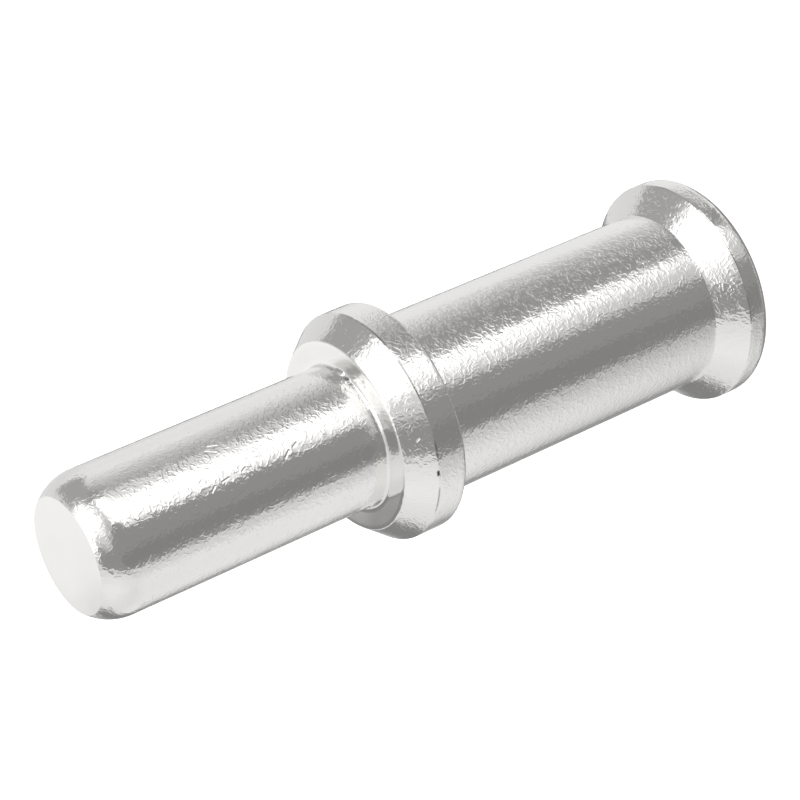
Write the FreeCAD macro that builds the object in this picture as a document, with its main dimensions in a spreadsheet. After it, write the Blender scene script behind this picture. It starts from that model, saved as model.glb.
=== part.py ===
import FreeCAD, Part
import math
import os
import Sketcher

# Turned pin contact in one piece: a front pin with a round-edged flat tip, a collar with a
# bevel and a flat seat, a thicker barrel, and a flared head with a short rim.
# Millimetres, standing on its head: Z runs up the axis from the head's flat face to the tip.

doc = FreeCAD.newDocument("pin_contact")

# Driving dimensions
dimensions = [
    ("pin_diameter", 2.00, "front pin, across"),
    ("pin_length", 4.28, "front pin, from the seat to the tip"),
    ("nose_radius", 0.70, "arc that rounds the tip's edge, tangent to the pin"),
    ("nose_width", 0.20, "rounded edge, measured across the tip on one side"),
    ("collar_diameter", 3.22, "collar, across"),
    ("band_length", 0.45, "straight band of the collar"),
    ("bevel_length", 0.36, "bevel in front of the band, along the axis"),
    ("bevel_width", 0.28, "bevel in front of the band, across on one side"),
    ("barrel_diameter", 2.54, "barrel, across"),
    ("barrel_length", 4.71, "barrel, from the head's flare to the collar"),
    ("head_diameter", 3.24, "head, across"),
    ("flare_length", 0.35, "cone between the barrel and the rim"),
    ("rim_length", 0.35, "straight rim of the head"),
    ("rear_edge_radius", 0.12, "round on the head's rear edge"),
    ("root_fillet", 0.05, "round in the inner corners at the collar's two shoulders"),
    ("edge_break", 0.04, "round on the other outer edges"),
]
sheet = doc.addObject("Spreadsheet::Sheet", "Sizes")
size = {}
for row, (alias, value, meaning) in enumerate(dimensions, start=1):
    sheet.set(f"A{row}", meaning)
    sheet.set(f"B{row}", str(value))
    sheet.setAlias(f"B{row}", alias)
    size[alias] = value
doc.recompute()


def add_size(sketch, name, kind, terms, alias, share=1):
    """Adds a named distance or radius to the sketch and binds it to its cell in the sheet."""
    index = sketch.addConstraint(Sketcher.Constraint(kind, *terms, size[alias] * share))
    sketch.renameConstraint(index, name)
    sketch.setExpression("Constraints." + name, f"Sizes.{alias} * {share}")


def round_corner(sketch, name, edge, alias, shoulder=None):
    """Rounds the corner where the edge ends and binds the arc's radius; lengths keep the sharp corner.

    On a shoulder, given as its width and the expression for it, the round takes at most its share of it.
    """
    radius = size[alias]
    expression = f"Sizes.{alias}"
    if shoulder:
        width, width_expression = shoulder
        radius = min(radius, shoulder_share * width)
        expression = f"min(Sizes.{alias}; {shoulder_share} * ({width_expression}))"
    first_new = sketch.GeometryCount
    sketch.fillet(edge, 2, radius, True, True)
    arc = next(i for i in range(first_new, sketch.GeometryCount) if isinstance(sketch.Geometry[i], Part.ArcOfCircle))
    index = sketch.addConstraint(Sketcher.Constraint("Radius", arc, radius))
    sketch.renameConstraint(index, name)
    sketch.setExpression("Constraints." + name, expression)


# Radii and heights of the profile's corners, worked out from the driving dimensions
pin_r = size["pin_diameter"] / 2
tip_r = pin_r - size["nose_width"]
collar_r = size["collar_diameter"] / 2
seat_r = collar_r - size["bevel_width"]
barrel_r = size["barrel_diameter"] / 2
head_r = size["head_diameter"] / 2
rim_top = size["rim_length"]
flare_top = rim_top + size["flare_length"]
collar_back = flare_top + size["barrel_length"]
band_top = collar_back + size["band_length"]
seat_height = band_top + size["bevel_length"]
tip_height = seat_height + size["pin_length"]
nose_angle = math.acos(1 - size["nose_width"] / size["nose_radius"])
nose_start = tip_height - size["nose_radius"] * math.sin(nose_angle)

# The section is drawn in the body's upright plane, to the right of the axis
body = doc.addObject("PartDesign::Body", "contact_pin")
body.Label = "contact_pin"
xz_plane = next(item for item in body.Origin.OriginFeatures if item.Role == "XZ_Plane")
profile = body.newObject("Sketcher::SketchObject", "turned_profile")
profile.AttachmentSupport = [(xz_plane, "")]
profile.MapMode = "FlatFace"

# Corners from the centre of the head's face, out and up to the pin's side
corners = [
    (0, 0),
    (head_r, 0),
    (head_r, rim_top),
    (barrel_r, flare_top),
    (barrel_r, collar_back),
    (collar_r, collar_back),
    (collar_r, band_top),
    (seat_r, seat_height),
    (pin_r, seat_height),
    (pin_r, nose_start),
]
points = [FreeCAD.Vector(x, y, 0) for x, y in corners]
for start, end in zip(points, points[1:]):
    profile.addGeometry(Part.LineSegment(start, end), False)
face, rim, flare, barrel, back, band, bevel, seat, pin = range(9)

# The nose arc, the flat tip and the axis close the section
nose_centre = FreeCAD.Vector(pin_r - size["nose_radius"], nose_start, 0)
nose_circle = Part.Circle(nose_centre, FreeCAD.Vector(0, 0, 1), size["nose_radius"])
nose = profile.addGeometry(Part.ArcOfCircle(nose_circle, 0, nose_angle), False)
tip_edge = FreeCAD.Vector(tip_r, tip_height, 0)
tip_centre = FreeCAD.Vector(0, tip_height, 0)
tip = profile.addGeometry(Part.LineSegment(tip_edge, tip_centre), False)
axis = profile.addGeometry(Part.LineSegment(tip_centre, points[0]), False)

# In a constraint, point 1 is an edge's start and point 2 its end; edge -1 point 1 is the origin
origin = (-1, 1)
profile.addConstraint(Sketcher.Constraint("Coincident", face, 1, *origin))
for first, second in zip(range(face, pin), range(rim, pin + 1)):
    profile.addConstraint(Sketcher.Constraint("Coincident", first, 2, second, 1))
profile.addConstraint(Sketcher.Constraint("Tangent", pin, 2, nose, 1))
profile.addConstraint(Sketcher.Constraint("Coincident", nose, 2, tip, 1))
profile.addConstraint(Sketcher.Constraint("Coincident", tip, 2, axis, 1))
profile.addConstraint(Sketcher.Constraint("Coincident", axis, 2, face, 1))
for flat_edge in (face, back, seat, tip):
    profile.addConstraint(Sketcher.Constraint("Horizontal", flat_edge))
for upright_edge in (rim, barrel, band, pin, axis):
    profile.addConstraint(Sketcher.Constraint("Vertical", upright_edge))

# Radii, from the axis
add_size(profile, "head_radius", "DistanceX", (*origin, face, 2), "head_diameter", 0.5)
add_size(profile, "barrel_radius", "DistanceX", (*origin, barrel, 1), "barrel_diameter", 0.5)
add_size(profile, "collar_radius", "DistanceX", (*origin, band, 1), "collar_diameter", 0.5)
add_size(profile, "bevel_width", "DistanceX", (bevel, 2, bevel, 1), "bevel_width")
add_size(profile, "pin_radius", "DistanceX", (*origin, pin, 1), "pin_diameter", 0.5)
add_size(profile, "nose_width", "DistanceX", (nose, 2, nose, 1), "nose_width")
add_size(profile, "nose_radius", "Radius", (nose,), "nose_radius")

# Lengths, along the axis
add_size(profile, "rim_length", "DistanceY", (rim, 1, rim, 2), "rim_length")
add_size(profile, "flare_length", "DistanceY", (flare, 1, flare, 2), "flare_length")
add_size(profile, "barrel_length", "DistanceY", (barrel, 1, barrel, 2), "barrel_length")
add_size(profile, "band_length", "DistanceY", (band, 1, band, 2), "band_length")
add_size(profile, "bevel_length", "DistanceY", (bevel, 1, bevel, 2), "bevel_length")
add_size(profile, "pin_length", "DistanceY", (pin, 1, nose, 2), "pin_length")

# The collar's two shoulders: their widths, and how much of one a round may take
shoulder_share = 0.4
back_shoulder = (collar_r - barrel_r, "(Sizes.collar_diameter - Sizes.barrel_diameter) / 2")
seat_shoulder = (seat_r - pin_r, "(Sizes.collar_diameter - Sizes.pin_diameter) / 2 - Sizes.bevel_width")

# Inner corners of the shoulders, as the nose of a turning tool leaves them
round_corner(profile, "back_root", barrel, "root_fillet", back_shoulder)
round_corner(profile, "seat_root", seat, "root_fillet", seat_shoulder)

# Outer edges, dulled by tumbling; the line between the nose and the flat tip stays crisp
round_corner(profile, "rear_edge", face, "rear_edge_radius")
round_corner(profile, "rim_edge", rim, "edge_break")
round_corner(profile, "back_edge", back, "edge_break", back_shoulder)
round_corner(profile, "band_edge", band, "edge_break")
round_corner(profile, "seat_edge", bevel, "edge_break", seat_shoulder)

# Half of the section, swept once round the axis
turned = body.newObject("PartDesign::Revolution", "turned_contact")
turned.Profile = profile
turned.ReferenceAxis = (profile, ["V_Axis"])
turned.Angle = 360

doc.recompute()

# Nothing is written unless every object worked out and the solid is sound
for item in doc.Objects:
    if "Invalid" in item.State or "Error" in item.State:
        raise SystemExit(f"{item.Name} failed: {item.State}")
if profile.solve() != 0 or not profile.FullyConstrained:
    raise SystemExit("the turned profile isn't fully constrained")
solid = body.Shape
if solid.isNull() or not solid.isValid() or len(solid.Solids) != 1:
    raise SystemExit("contact_pin isn't one valid solid")

os.makedirs("parts", exist_ok=True)
solid.exportStep(os.path.join("parts", body.Label + ".step"))
box = solid.optimalBoundingBox(False)
print(f"contact_pin: {box.XLength:.3f} x {box.YLength:.3f} x {box.ZLength:.3f} mm, {solid.Volume:.3f} mm3")
print(f"seat at {seat_height:.3f}, collar back at {collar_back:.3f}, nose starts at {nose_start:.4f}")
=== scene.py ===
import bmesh
import bpy
import math
from mathutils import Matrix, Vector


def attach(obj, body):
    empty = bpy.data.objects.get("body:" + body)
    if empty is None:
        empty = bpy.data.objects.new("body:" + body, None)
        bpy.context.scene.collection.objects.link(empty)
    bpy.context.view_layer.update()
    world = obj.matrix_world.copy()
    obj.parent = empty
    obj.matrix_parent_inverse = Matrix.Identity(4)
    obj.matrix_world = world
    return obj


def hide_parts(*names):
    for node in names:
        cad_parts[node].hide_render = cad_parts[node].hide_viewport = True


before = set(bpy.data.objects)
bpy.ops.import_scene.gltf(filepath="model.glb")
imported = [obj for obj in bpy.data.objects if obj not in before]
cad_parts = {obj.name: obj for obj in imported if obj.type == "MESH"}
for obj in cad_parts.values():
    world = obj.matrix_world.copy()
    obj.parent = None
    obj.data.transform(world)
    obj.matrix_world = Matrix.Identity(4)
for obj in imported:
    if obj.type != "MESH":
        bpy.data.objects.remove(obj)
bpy.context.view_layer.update()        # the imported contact, standing on its head
mm = 0.001
print("frame loaded")

# the contact, in millimetres, as turned
contactPin = {
    "pinDiameter": 2.00,
    "pinLength": 4.28,
    "noseRadius": 0.70,
    "noseWidth": 0.20,
    "collarDiameter": 3.22,
    "bandLength": 0.45,
    "bevelLength": 0.36,
    "bevelWidth": 0.28,
    "barrelDiameter": 2.54,
    "barrelLength": 4.71,
    "headDiameter": 3.24,
    "flareLength": 0.35,
    "rimLength": 0.35,
    "rearRound": 0.12,      # round on the head's rear edge
    "rootRound": 0.05,      # inner corners at the collar
    "edgeRound": 0.04,      # the other outer edges
    "flareRound": 0.02,     # inner corner where the head flares out
    "crispAngle": 35,       # degrees; only the line round the flat tip turns more
    "flatWeight": 80,       # how much the flats win over the rounds in the shading
    "ringSteps": 256,
    "ringSpacing": 0.045,   # rings close enough for smooth shading
    "noseSteps": 14,
    "roundSteps": 5,
    "weldDistance": 0.0002,
}


def hexColour(code):
    # sRGB hex to the linear values that the shader takes
    values = [int(code[i:i + 2], 16) / 255 for i in (1, 3, 5)]
    return [v / 12.92 if v <= 0.04045 else ((v + 0.055) / 1.055) ** 2.4 for v in values] + [1.0]


def addNode(tree, kind, inputs=(), **settings):
    # one node: its settings, then its inputs by name or in order, each a plain value or an output to link
    node = tree.nodes.new(kind)
    for name, value in settings.items():
        setattr(node, name, value)
    pairs = inputs.items() if isinstance(inputs, dict) else enumerate(inputs)
    for name, value in pairs:
        if isinstance(value, bpy.types.NodeSocket):
            tree.links.new(value, node.inputs[name])
        else:
            node.inputs[name].default_value = value
    return node


# radii and heights of the profile's corners
headR = contactPin["headDiameter"] / 2
barrelR = contactPin["barrelDiameter"] / 2
collarR = contactPin["collarDiameter"] / 2
seatR = collarR - contactPin["bevelWidth"]
pinR = contactPin["pinDiameter"] / 2
rimTop = contactPin["rimLength"]
flareTop = rimTop + contactPin["flareLength"]
collarBack = flareTop + contactPin["barrelLength"]
bandTop = collarBack + contactPin["bandLength"]
seatHeight = bandTop + contactPin["bevelLength"]
tipHeight = seatHeight + contactPin["pinLength"]
noseAngle = math.acos(1 - contactPin["noseWidth"] / contactPin["noseRadius"])
noseStart = tipHeight - contactPin["noseRadius"] * math.sin(noseAngle)


def roundCorner(bm, corner, radius):
    # bevels a corner of the wire by the distance that gives an arc of that radius
    ends = [edge.other_vert(corner).co - corner.co for edge in corner.link_edges]
    turn = math.pi - ends[0].angle(ends[1])
    bmesh.ops.bevel(bm, geom=[corner], offset=radius * math.tan(turn / 2), offset_type="OFFSET",
                    segments=contactPin["roundSteps"], profile=0.5, affect="VERTICES",
                    clamp_overlap=False, material=-1)


def drawProfile(bm):
    # corners from the rear centre out and up, each with its round; then the nose and the flat tip
    path = [
        (0, 0, 0),
        (headR, 0, contactPin["rearRound"]),
        (headR, rimTop, contactPin["edgeRound"]),
        (barrelR, flareTop, contactPin["flareRound"]),
        (barrelR, collarBack, contactPin["rootRound"]),
        (collarR, collarBack, contactPin["edgeRound"]),
        (collarR, bandTop, contactPin["edgeRound"]),
        (seatR, seatHeight, contactPin["edgeRound"]),
        (pinR, seatHeight, contactPin["rootRound"]),
        (pinR, noseStart, 0),
    ]
    verts = [bm.verts.new((x, 0, z)) for x, z, corner in path]
    for start, end in zip(verts, verts[1:]):
        bm.edges.new((start, end))
    noseCentre = Vector((pinR - contactPin["noseRadius"], 0, noseStart))
    arc = bmesh.ops.spin(bm, geom=[verts[-1]], cent=noseCentre, axis=(0, -1, 0), angle=noseAngle,
                         steps=contactPin["noseSteps"])
    tipEdge = next(item for item in arc["geom_last"] if isinstance(item, bmesh.types.BMVert))
    tipCentre = bm.verts.new((0, 0, tipHeight))
    bm.edges.new((tipEdge, tipCentre))
    for vert, (x, z, corner) in zip(verts, path):
        if corner:
            roundCorner(bm, vert, corner)


def spinContact():
    bm = bmesh.new()
    drawProfile(bm)
    for edge in bm.edges[:]:
        cuts = int(edge.calc_length() / contactPin["ringSpacing"])
        if cuts:
            bmesh.ops.subdivide_edges(bm, edges=[edge], cuts=cuts)
    bmesh.ops.spin(bm, geom=bm.verts[:] + bm.edges[:], cent=(0, 0, 0), axis=(0, 0, 1),
                   angle=math.tau, steps=contactPin["ringSteps"], use_merge=True)
    bmesh.ops.remove_doubles(bm, verts=bm.verts[:], dist=contactPin["weldDistance"])
    bmesh.ops.recalc_face_normals(bm, faces=bm.faces[:])
    for edge in bm.edges:
        if edge.calc_face_angle() > math.radians(contactPin["crispAngle"]):
            edge.smooth = False
    return bm


# the finish: sizes in millimetres, placed where the photograph shows them
tumbling = {
    "silver": "#f4f3f1",
    # painted shade: the dark colour painted into the pit and along the crests in place of shade
    "paintedShade": "#3a3936",
    "roughness": (0.10, 0.17),      # from patch to patch
    "glossPatch": 0.5,
    # the curved strokes that tumbling leaves, each layer: spacing of the curls and depth
    "strokes": [(0.080, 0.0009), (0.100, 0.0010), (0.065, 0.0008)],
    "strokeWidth": 0.14,            # share of the curl's swing
    "strokeBreak": 0.09,            # length after which a stroke ends
    "breakShare": (0.40, 0.60),     # the breaking noise, from no stroke to a full one
    "layerShift": (4.3, 2.1, 1.7),  # moves each layer off the last
    "breakShift": (5, 1, 2),
    "dentSize": 0.10,               # soft dents between the strokes
    "dentDepth": 0.0013,
    "flatNormal": (0.97, 0.90),     # upright share of the normal, from no marks to full marks
    "waveSize": 0.7,                # slow waviness of the turned surface
    "waveDepth": 0.003,
    # single knocks: middle, direction, length, reach to each side, depth; a negative depth stands proud
    "knocks": [
        ((0.544, -0.838, 8.467), (-0.27, -0.18, -0.95), 0.117, 0.022, 0.0040),
        ((0.485, -0.873, 8.537), (-0.45, -0.24, -0.86), 0.142, 0.016, 0.0025),
        ((0.046, -0.998, 8.762), (0.63, 0.03, -0.77), 0.089, 0.020, 0.0040),
        ((0.093, -0.995, 8.557), (0.17, 0.02, -0.99), 0.112, 0.020, 0.0040),
        ((0.124, -0.991, 8.265), (0.42, 0.06, -0.91), 0.061, 0.020, 0.0035),
        ((0.083, -0.995, 7.615), (0.61, 0.04, -0.79), 0.110, 0.024, 0.0050),
        ((0.153, -0.987, 7.463), (0.44, 0.06, -0.90), 0.081, 0.020, 0.0040),
        ((0.793, -0.616, 6.240), (-0.53, -0.84, -0.15), 0.120, 0.060, -0.0300),
        ((0.651, -0.759, 6.266), (-0.79, -0.62, -0.01), 0.022, 0.055, -0.0300),
        ((-0.422, -1.423, 6.021), (0.40, -0.65, -0.65), 0.050, 0.018, 0.0040),
    ],
    # the hole on the collar's edge, also painted dark as painted shade: middle, direction, length, reach to
    # each side
    "pit": ((-0.925, -1.312, 5.866), (-0.85, 0.52, -0.09), 0.045, 0.030),
    "pitDepth": 0.03,
    # crests with a broken dark line painted on as painted shade: radius and height
    "shadedCrests": [(1.605, 5.855), (1.605, 0.345)],
    "shadedCrestWidth": 0.019,
    "shadedCrestCore": 0.3,                # share of that width that is fully dark
    "shadedCrestBreak": 0.35,
    "shadedCrestPatches": (0.44, 0.56),    # the breaking noise, from no painted shade to full painted shade
    "shadedCrestShare": 0.45,              # how dark the line gets
}


def curlLayer(tree, place, layer, spacing, depth, height):
    # crests where a noise swings through its middle, broken into short curved strokes by a second noise
    apart = [step * layer * mm for step in tumbling["layerShift"]]
    moved = addNode(tree, "ShaderNodeVectorMath", [place, apart], operation="ADD").outputs[0]
    swing = addNode(tree, "ShaderNodeTexNoise",
                    {"Vector": moved, "Scale": 1 / (spacing * mm), "Detail": 0.0}).outputs["Fac"]
    swing = addNode(tree, "ShaderNodeMath", [swing, 0.5], operation="SUBTRACT").outputs[0]
    off = addNode(tree, "ShaderNodeMath", [swing], operation="ABSOLUTE").outputs[0]
    crest = addNode(tree, "ShaderNodeMapRange",
                    {"Value": off, "From Min": tumbling["strokeWidth"], "From Max": 0.0},
                    interpolation_type="SMOOTHSTEP").outputs[0]
    aside = [step * mm for step in tumbling["breakShift"]]
    elsewhere = addNode(tree, "ShaderNodeVectorMath", [moved, aside], operation="ADD").outputs[0]
    gaps = addNode(tree, "ShaderNodeTexNoise",
                   {"Vector": elsewhere, "Scale": 1 / (tumbling["strokeBreak"] * mm), "Detail": 0.0})
    noStroke, fullStroke = tumbling["breakShare"]
    runs = addNode(tree, "ShaderNodeMapRange",
                   {"Value": gaps.outputs["Fac"], "From Min": noStroke, "From Max": fullStroke},
                   interpolation_type="SMOOTHSTEP").outputs[0]
    stroke = addNode(tree, "ShaderNodeMath", [crest, runs], operation="MULTIPLY").outputs[0]
    return addNode(tree, "ShaderNodeMath", [stroke, depth, height], operation="MULTIPLY_ADD").outputs[0]


def knockMask(tree, place, middle, along, length, reach):
    # 1 on a short line on the surface, falling to 0 at its reach to each side
    centre = [step * mm for step in middle]
    half = length / 2 * mm
    away = addNode(tree, "ShaderNodeVectorMath", [place, centre], operation="SUBTRACT").outputs[0]
    run = addNode(tree, "ShaderNodeVectorMath", [away, along], operation="DOT_PRODUCT").outputs["Value"]
    run = addNode(tree, "ShaderNodeMath", [run, -half], operation="MAXIMUM").outputs[0]
    run = addNode(tree, "ShaderNodeMath", [run, half], operation="MINIMUM").outputs[0]
    nearest = addNode(tree, "ShaderNodeVectorMath", {0: along, "Scale": run}, operation="SCALE").outputs[0]
    aside = addNode(tree, "ShaderNodeVectorMath", [away, nearest], operation="SUBTRACT").outputs[0]
    distance = addNode(tree, "ShaderNodeVectorMath", [aside], operation="LENGTH").outputs["Value"]
    return addNode(tree, "ShaderNodeMapRange", {"Value": distance, "From Min": reach * mm, "From Max": 0.0},
                   interpolation_type="SMOOTHSTEP").outputs[0]


def paintedCrestShade(tree, place):
    # painted shade along the turned crests: a dark line in the colour, broken up by a noise
    flat = addNode(tree, "ShaderNodeVectorMath", [place, (1, 1, 0)], operation="MULTIPLY").outputs[0]
    radius = addNode(tree, "ShaderNodeVectorMath", [flat], operation="LENGTH").outputs["Value"]
    upright = addNode(tree, "ShaderNodeSeparateXYZ", [place]).outputs[2]
    crestShade = 0.0
    for ringRadius, ringHeight in tumbling["shadedCrests"]:
        out = addNode(tree, "ShaderNodeMath", [radius, ringRadius * mm], operation="SUBTRACT").outputs[0]
        up = addNode(tree, "ShaderNodeMath", [upright, ringHeight * mm], operation="SUBTRACT").outputs[0]
        outSquared = addNode(tree, "ShaderNodeMath", [out, out], operation="MULTIPLY").outputs[0]
        squares = addNode(tree, "ShaderNodeMath", [up, up, outSquared], operation="MULTIPLY_ADD").outputs[0]
        off = addNode(tree, "ShaderNodeMath", [squares], operation="SQRT").outputs[0]
        edge = tumbling["shadedCrestWidth"] * mm
        line = addNode(tree, "ShaderNodeMapRange",
                       {"Value": off, "From Min": edge, "From Max": edge * tumbling["shadedCrestCore"]},
                       interpolation_type="SMOOTHSTEP").outputs[0]
        crestShade = addNode(tree, "ShaderNodeMath", [line, crestShade], operation="MAXIMUM").outputs[0]
    patches = addNode(tree, "ShaderNodeTexNoise",
                      {"Vector": place, "Scale": 1 / (tumbling["shadedCrestBreak"] * mm), "Detail": 2.0})
    unshaded, fullyShaded = tumbling["shadedCrestPatches"]
    kept = addNode(tree, "ShaderNodeMapRange",
                   {"Value": patches.outputs["Fac"], "From Min": unshaded, "From Max": fullyShaded},
                   interpolation_type="SMOOTHSTEP").outputs[0]
    crestShade = addNode(tree, "ShaderNodeMath", [crestShade, kept], operation="MULTIPLY").outputs[0]
    return addNode(tree, "ShaderNodeMath", [crestShade, tumbling["shadedCrestShare"]], operation="MULTIPLY").outputs[0]


def platedSilver():
    # bright silver plate over turned brass, tumbled: a soft mirror under a net of short curved strokes
    material = bpy.data.materials.new("tumbledSilverPlate")
    material.use_nodes = True
    tree = material.node_tree
    shader = tree.nodes["Principled BSDF"]
    shader.inputs["Metallic"].default_value = 1.0
    texture = addNode(tree, "ShaderNodeTexCoord")
    place = texture.outputs["Object"]
    height = 0.0
    for layer, (spacing, depth) in enumerate(tumbling["strokes"]):
        height = curlLayer(tree, place, layer, spacing, depth, height)
    dents = addNode(tree, "ShaderNodeTexNoise",
                    {"Vector": place, "Scale": 1 / (tumbling["dentSize"] * mm), "Detail": 0.0})
    height = addNode(tree, "ShaderNodeMath", [dents.outputs["Fac"], tumbling["dentDepth"], height],
                     operation="MULTIPLY_ADD").outputs[0]
    # the flats across the axis are smooth: the tip, the seat and the head's face
    facing = addNode(tree, "ShaderNodeSeparateXYZ", [texture.outputs["Normal"]]).outputs[2]
    upright = addNode(tree, "ShaderNodeMath", [facing], operation="ABSOLUTE").outputs[0]
    noMarks, fullMarks = tumbling["flatNormal"]
    sides = addNode(tree, "ShaderNodeMapRange",
                    {"Value": upright, "From Min": noMarks, "From Max": fullMarks},
                    interpolation_type="SMOOTHSTEP").outputs[0]
    height = addNode(tree, "ShaderNodeMath", [height, sides], operation="MULTIPLY").outputs[0]
    waves = addNode(tree, "ShaderNodeTexNoise",
                    {"Vector": place, "Scale": 1 / (tumbling["waveSize"] * mm), "Detail": 1.0})
    height = addNode(tree, "ShaderNodeMath", [waves.outputs["Fac"], tumbling["waveDepth"], height],
                     operation="MULTIPLY_ADD").outputs[0]
    for *knock, depth in tumbling["knocks"]:
        mask = knockMask(tree, place, *knock)
        height = addNode(tree, "ShaderNodeMath", [mask, -depth, height],
                         operation="MULTIPLY_ADD").outputs[0]
    hole = knockMask(tree, place, *tumbling["pit"])
    height = addNode(tree, "ShaderNodeMath", [hole, -tumbling["pitDepth"], height],
                     operation="MULTIPLY_ADD").outputs[0]
    bump = addNode(tree, "ShaderNodeBump", {"Strength": 1.0, "Distance": mm, "Height": height})
    tree.links.new(bump.outputs["Normal"], shader.inputs["Normal"])
    # painted shade: the pit and the crests are painted dark, the rest is bare silver
    dark = addNode(tree, "ShaderNodeMath", [hole, paintedCrestShade(tree, place)], operation="MAXIMUM").outputs[0]
    colour = addNode(tree, "ShaderNodeMix",
                     {0: dark, 6: hexColour(tumbling["silver"]), 7: hexColour(tumbling["paintedShade"])},
                     data_type="RGBA").outputs[2]
    tree.links.new(colour, shader.inputs["Base Color"])
    patches = addNode(tree, "ShaderNodeTexNoise",
                      {"Vector": place, "Scale": 1 / (tumbling["glossPatch"] * mm), "Detail": 2.0})
    glossiest, dullest = tumbling["roughness"]
    gloss = addNode(tree, "ShaderNodeMapRange",
                    {"Value": patches.outputs["Fac"], "To Min": glossiest, "To Max": dullest}).outputs[0]
    tree.links.new(gloss, shader.inputs["Roughness"])
    return material


def finishContact(bm):
    bmesh.ops.scale(bm, vec=(mm, mm, mm), verts=bm.verts[:])
    for face in bm.faces:
        face.smooth = True
    mesh = bpy.data.meshes.new("turnedContact")
    bm.to_mesh(mesh)
    bm.free()
    piece = bpy.data.objects.new("turnedContact", mesh)
    bpy.context.scene.collection.objects.link(piece)
    mesh.materials.append(platedSilver())
    normals = piece.modifiers.new("flatsKeepTheirNormals", "WEIGHTED_NORMAL")
    normals.weight = contactPin["flatWeight"]
    normals.keep_sharp = True
    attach(piece, "root")
    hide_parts("contact_pin")
    return piece


contact = finishContact(spinContact())
print("contact turned:", len(contact.data.polygons), "faces")

# the photograph's angle, with the contact lying across the frame
camera = {
    "elevation": 30.12,     # degrees above the floor
    "roll": -113.36,        # turns the standing contact to its slant in the frame
    "distance": 34.47,      # mm from the tip's plane
    "tipRight": -4.149,     # mm, the tip's centre from the middle of the frame
    "tipDown": 1.950,
    "widthAtTip": 9.983,    # mm of the tip's plane that the frame takes in
    "sensor": 36.0,
    "nearest": 1,           # mm, what the camera sees starts and ends here
    "farthest": 10000,
}


def placeCamera():
    elevation = math.radians(camera["elevation"])
    forward = Vector((0, math.cos(elevation), -math.sin(elevation)))
    upright = forward.to_track_quat("-Z", "Y").to_matrix()
    turn = upright @ Matrix.Rotation(math.radians(camera["roll"]), 3, "Z")
    right, up, back = turn.col
    tip = Vector((0, 0, tipHeight))
    eye = tip - right * camera["tipRight"] + up * camera["tipDown"] + back * camera["distance"]
    data = bpy.data.cameras.new("camera")
    data.sensor_width = camera["sensor"]
    data.lens = camera["sensor"] * camera["distance"] / camera["widthAtTip"]
    data.clip_start = camera["nearest"] * mm
    data.clip_end = camera["farthest"] * mm
    eyeObject = bpy.data.objects.new("camera", data)
    eyeObject.matrix_world = Matrix.Translation(eye * mm) @ turn.to_4x4()
    bpy.context.scene.collection.objects.link(eyeObject)
    bpy.context.scene.camera = eyeObject
    return right, up, back


frameRight, frameUp, frameBack = placeCamera()
print("camera placed")

# the studio round the contact, as it lies in the frame; side is degrees to the right of the camera,
# height is degrees up, and level is the brightness
studio = {
    # walls: height and level, in front of the contact and behind it
    "frontLevels": [
        (-90, 0.95), (-60, 0.84), (-40, 0.71), (-20, 0.66), (0, 0.68),
        (30, 0.58), (60, 0.31), (75, 0.33), (90, 0.30),
    ],
    "backLevels": [
        (-90, 0.85), (-60, 0.77), (-40, 0.87), (-20, 0.42), (0, 0.78),
        (30, 0.73), (60, 0.87), (75, 0.67), (90, 0.44),
    ],
    "backFrom": 0.26,       # how far a ray points to the camera where the back wall begins
    "backTo": -0.10,        # and where it is alone
    "grazing": 0.05,        # rays more aslant than this never meet a card
    # cards, each over the ones before it: name, side, height, half its width, half its length, slant,
    # soft edge across, soft edge up, level
    "cards": [
        ("darkRoom", 37.0, -6.0, 58.0, 37.0, 20.0, 10.0, 8.0, 0.29),
        ("darkCore", 58.0, -18.0, 27.0, 11.5, 31.0, 5.0, 5.0, 0.24),
        ("sideGlow", -6.0, 2.0, 14.0, 16.0, 0.0, 14.0, 14.0, 0.68),
        ("leftFlag", -90.0, 50.5, 26.0, 18.5, -3.0, 5.0, 4.0, 0.38),
        ("rightFlag", 102.5, 72.0, 39.0, 8.5, 7.5, 8.0, 6.0, 0.30),
        ("rearSweep", 150.0, 36.5, 33.5, 29.5, -29.5, 16.0, 16.0, 0.87),
        ("rightWall", 128.0, 15.0, 30.0, 40.0, 0.0, 8.0, 8.0, 0.28),
        ("rearFlag", -173.0, -39.0, 8.0, 23.0, 26.0, 9.0, 12.0, 0.24),
        ("rearLow", 165.0, -17.0, 7.0, 9.0, 0.0, 8.0, 8.0, 0.31),
        ("tipCard", -124.0, -3.5, 20.0, 17.0, 0.0, 6.0, 1.5, 0.98),
        ("lowFlag", -122.0, -29.5, 16.0, 8.5, 0.0, 4.0, 1.5, 0.24),
        ("ceilingGap", -2.5, 57.0, 29.5, 9.5, 49.5, 8.5, 8.5, 0.79),
        ("frontSoftbox", -16.0, 18.0, 11.0, 14.0, 0.0, 8.0, 8.0, 1.20),
        ("sideSoftbox", -41.0, 9.0, 20.0, 35.0, 0.0, 12.0, 8.0, 1.30),
        ("topSpill", 60.0, 38.0, 12.0, 13.0, 0.0, 8.0, 6.0, 0.62),
        ("topSoftbox", 23.0, 47.0, 26.0, 18.0, -6.0, 16.0, 8.0, 1.45),
        ("seam", -6.0, 38.0, 4.0, 24.0, 50.0, 8.0, 10.0, 0.56),
        ("behindFlag", 180.0, 4.0, 10.0, 8.5, 0.0, 3.0, 3.0, 0.10),
    ],
}


def towards(side, height):
    # the direction that lies at that side and height
    a, b = math.radians(side), math.radians(height)
    flat = frameRight * math.sin(a) + frameBack * math.cos(a)
    return flat * math.cos(b) + frameUp * math.sin(b)


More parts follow.
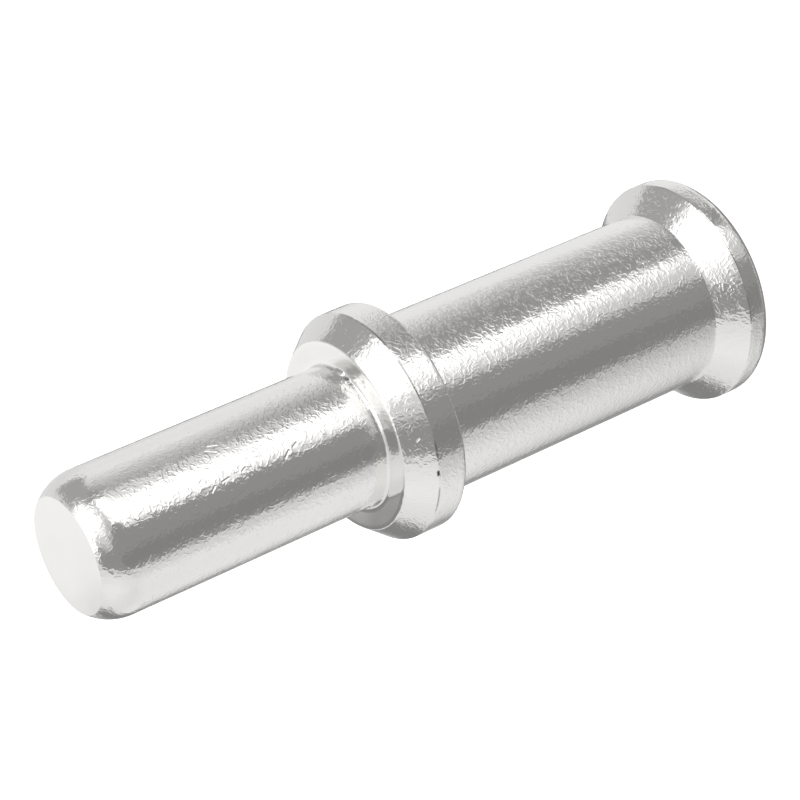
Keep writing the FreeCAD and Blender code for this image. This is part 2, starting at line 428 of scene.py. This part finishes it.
def cardMask(tree, ray, side, height, halfWidth, halfLength, slant, edgeAcross, edgeUp):
    # 1 where a ray meets the card, falling to 0 across its soft edge
    centre = towards(side, height)
    level = towards(side + 90, 0)
    over = centre.cross(level)
    turn = math.radians(slant)
    across = level * math.cos(turn) + over * math.sin(turn)
    up = over * math.cos(turn) - level * math.sin(turn)
    ahead = addNode(tree, "ShaderNodeVectorMath", [ray, centre], operation="DOT_PRODUCT").outputs["Value"]
    inFront = addNode(tree, "ShaderNodeMath", [ahead, studio["grazing"]], operation="MAXIMUM").outputs[0]
    mask = addNode(tree, "ShaderNodeMath", [ahead, studio["grazing"]], operation="GREATER_THAN").outputs[0]
    for axis, half, edge in ((across, halfWidth, edgeAcross), (up, halfLength, edgeUp)):
        reach = math.tan(math.radians(half))
        soft = math.tan(math.radians(edge))
        along = addNode(tree, "ShaderNodeVectorMath", [ray, axis], operation="DOT_PRODUCT").outputs["Value"]
        off = addNode(tree, "ShaderNodeMath", [along], operation="ABSOLUTE").outputs[0]
        slope = addNode(tree, "ShaderNodeMath", [off, inFront], operation="DIVIDE").outputs[0]
        inside = addNode(tree, "ShaderNodeMapRange",
                         {"Value": slope, "From Min": reach + soft / 2, "From Max": reach - soft / 2},
                         interpolation_type="SMOOTHSTEP").outputs[0]
        mask = addNode(tree, "ShaderNodeMath", [mask, inside], operation="MULTIPLY").outputs[0]
    return mask


def levelRamp(tree, angle, levels):
    # brightness by height, straight between the given heights; -90 to 90 degrees lie at 0 to 1 on the curve
    share = addNode(tree, "ShaderNodeMath", [angle, 1 / math.pi, 0.5], operation="MULTIPLY_ADD").outputs[0]
    ramp = addNode(tree, "ShaderNodeFloatCurve", {"Value": share})
    curve = ramp.mapping.curves[0]
    ends = [levels[0], levels[-1]]
    for point, (height, level) in zip(curve.points, ends):
        point.location = (height / 180 + 0.5, level)
    for height, level in levels[1:-1]:
        curve.points.new(height / 180 + 0.5, level)
    for point in curve.points:
        point.handle_type = "VECTOR"
    ramp.mapping.update()
    return ramp.outputs["Value"]


def studioWorld():
    # the contact mirrors the walls and the cards; the camera itself sees a white sweep
    world = bpy.data.worlds.new("softStudio")
    bpy.context.scene.world = world
    world.use_nodes = True
    tree = world.node_tree
    ray = addNode(tree, "ShaderNodeTexCoord").outputs["Generated"]
    up = addNode(tree, "ShaderNodeVectorMath", [ray, frameUp], operation="DOT_PRODUCT").outputs["Value"]
    angle = addNode(tree, "ShaderNodeMath", [up], operation="ARCSINE").outputs[0]
    back = addNode(tree, "ShaderNodeVectorMath", [ray, frameBack], operation="DOT_PRODUCT").outputs["Value"]
    behind = addNode(tree, "ShaderNodeMapRange",
                     {"Value": back, "From Min": studio["backFrom"], "From Max": studio["backTo"]},
                     interpolation_type="SMOOTHSTEP").outputs[0]
    front = levelRamp(tree, angle, studio["frontLevels"])
    rear = levelRamp(tree, angle, studio["backLevels"])
    level = addNode(tree, "ShaderNodeMix", {0: behind, 2: front, 3: rear}, data_type="FLOAT").outputs[0]
    for name, *card, brightness in studio["cards"]:
        mask = cardMask(tree, ray, *card)
        level = addNode(tree, "ShaderNodeMix", {0: mask, 2: level, 3: brightness}, data_type="FLOAT",
                        label=name).outputs[0]
    mirrored = addNode(tree, "ShaderNodeBackground", {"Color": hexColour("#ffffff"), "Strength": level})
    sweep = addNode(tree, "ShaderNodeBackground", {"Color": hexColour("#ffffff"), "Strength": 1.0})
    seen = addNode(tree, "ShaderNodeLightPath").outputs["Is Camera Ray"]
    both = addNode(tree, "ShaderNodeMixShader", [seen, mirrored.outputs[0], sweep.outputs[0]])
    tree.links.new(both.outputs[0], tree.nodes["World Output"].inputs["Surface"])


# the sheet of paper that the contact stands on
paper = {
    "halfWidth": 2.0,       # metres, past the edges of the frame
    "colour": "#f4f4f4",
    "roughness": 0.9,
    "glow": 0.9,            # lit from below, so that it stays white round the contact
}


def paleFloor():
    bm = bmesh.new()
    bmesh.ops.create_grid(bm, x_segments=1, y_segments=1, size=paper["halfWidth"])
    mesh = bpy.data.meshes.new("floor")
    bm.to_mesh(mesh)
    bm.free()
    floor = bpy.data.objects.new("floor", mesh)
    bpy.context.scene.collection.objects.link(floor)
    # matt white paper, smooth and without grain
    material = bpy.data.materials.new("whiteSweepPaper")
    material.use_nodes = True
    shader = material.node_tree.nodes["Principled BSDF"]
    shader.inputs["Base Color"].default_value = hexColour(paper["colour"])
    shader.inputs["Roughness"].default_value = paper["roughness"]
    shader.inputs["Emission Color"].default_value = hexColour("#ffffff")
    shader.inputs["Emission Strength"].default_value = paper["glow"]
    mesh.materials.append(material)
    floor.visible_glossy = False    # the contact mirrors the lights, not the paper it stands on


studioWorld()
paleFloor()
bpy.context.scene.view_settings.view_transform = "Standard"
print("studio lit")
